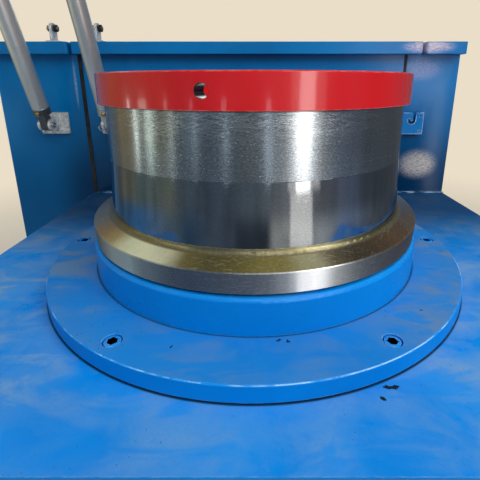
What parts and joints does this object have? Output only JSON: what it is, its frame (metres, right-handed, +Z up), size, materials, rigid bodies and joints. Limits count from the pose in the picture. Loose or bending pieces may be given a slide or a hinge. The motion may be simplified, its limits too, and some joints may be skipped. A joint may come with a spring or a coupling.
{
  "type": "wire drawing block station",
  "caption": "Floor-standing wire drawing station: upright steel drum on a round bolted plate, sheet-metal bed, rear cabinet wall and tilting lifting cylinders.",
  "frame": {"origin": "on the drum axis at floor level, in the underside of the bed's base plate", "axes": "+Z up along the drum axis, +X along the wire line to the right, +Y to the rear wall"},
  "size_m": [1.555, 1.348, 1.4493],
  "materials": {
    "blue_paint": "semi-gloss machine enamel",
    "deck_paint": "semi-gloss machine enamel, dusty",
    "plate_paint": "satin machine enamel, worn and dusty",
    "ring_paint": "satin machine enamel",
    "red_paint": "gloss enamel",
    "turned_steel": "finely turned",
    "polished_steel": "ground and polished",
    "flange_steel": "finely turned",
    "machined_iron": "machined casting",
    "zinc_plate": "zinc plated",
    "bright_pin": "bright turned",
    "satin_tube": "satin anodised",
    "cap_metal": "dark anodised",
    "rod_chrome": "hard chrome",
    "seal_rubber": "matt"
  },
  "bodies": {
    "machine": {"bed_base_plate": "blue_paint", "bed_front_panel": "blue_paint", "bed_left_panel": "blue_paint", "bed_right_panel": "blue_paint", "bed_rear_panel": "blue_paint", "front_access_cover": "blue_paint", "anchor_lugs": "blue_paint", "deck_plate": "deck_paint", "mounting_plate": "plate_paint", "bearing_ring": "ring_paint", "spindle_housing": "machined_iron", "rear_wall_panel": "blue_paint", "left_wall_panel": "blue_paint", "right_wall_panel": "blue_paint", "main_rail": "blue_paint", "left_rail": "blue_paint", "right_rail": "blue_paint", "panel_seals": "seal_rubber", "cabinet_base_plate": "blue_paint", "cabinet_left_end": "blue_paint", "cabinet_right_end": "blue_paint", "cabinet_rear_panel": "blue_paint", "cabinet_top": "blue_paint", "rear_covers": "blue_paint", "cylinder_bracket_a": "zinc_plate", "cylinder_bracket_b": "zinc_plate", "pivot_pins": "bright_pin", "slotted_bracket": "blue_paint", "hinge_lugs": "zinc_plate"},
    "drum": {"drum_shell": "turned_steel", "upper_band": "turned_steel", "working_band": "polished_steel", "drum_flange": "flange_steel", "red_ring": "red_paint", "drum_top_plate": "turned_steel", "hub_cap": "turned_steel", "spindle": "polished_steel"},
    "cylinder_a": {"cylinder_tube_a": "satin_tube", "cylinder_ends_a": "cap_metal"},
    "rod_a": {"piston_rod_a": "rod_chrome", "rod_eye_a": "zinc_plate"},
    "cylinder_b": {"cylinder_tube_b": "satin_tube", "cylinder_ends_b": "cap_metal"},
    "rod_b": {"piston_rod_b": "rod_chrome", "rod_eye_b": "zinc_plate"}
  },
  "joints": [
    {"name": "drum_spin", "type": "hinge", "parent": "machine", "child": "drum", "pos_m": [0, 0, 0.8115], "axis": [0, 0, 1], "continuous": true},
    {"name": "cylinder_a_tilt", "type": "hinge", "parent": "machine", "child": "cylinder_a", "pos_m": [-0.473, 0.409, 0.963], "axis": [1, 0, 0], "range_deg": [-8, 20]},
    {"name": "rod_a_slide", "type": "slide", "parent": "cylinder_a", "child": "rod_a", "axis": [0, -0.3502, 0.9367], "range_m": [0, 0.28]},
    {"name": "cylinder_b_tilt", "type": "hinge", "parent": "machine", "child": "cylinder_b", "pos_m": [-0.674, 0.409, 0.963], "axis": [1, 0, 0], "range_deg": [-8, 20]},
    {"name": "rod_b_slide", "type": "slide", "parent": "cylinder_b", "child": "rod_b", "axis": [0, -0.3502, 0.9367], "range_m": [0, 0.28]}
  ]
}
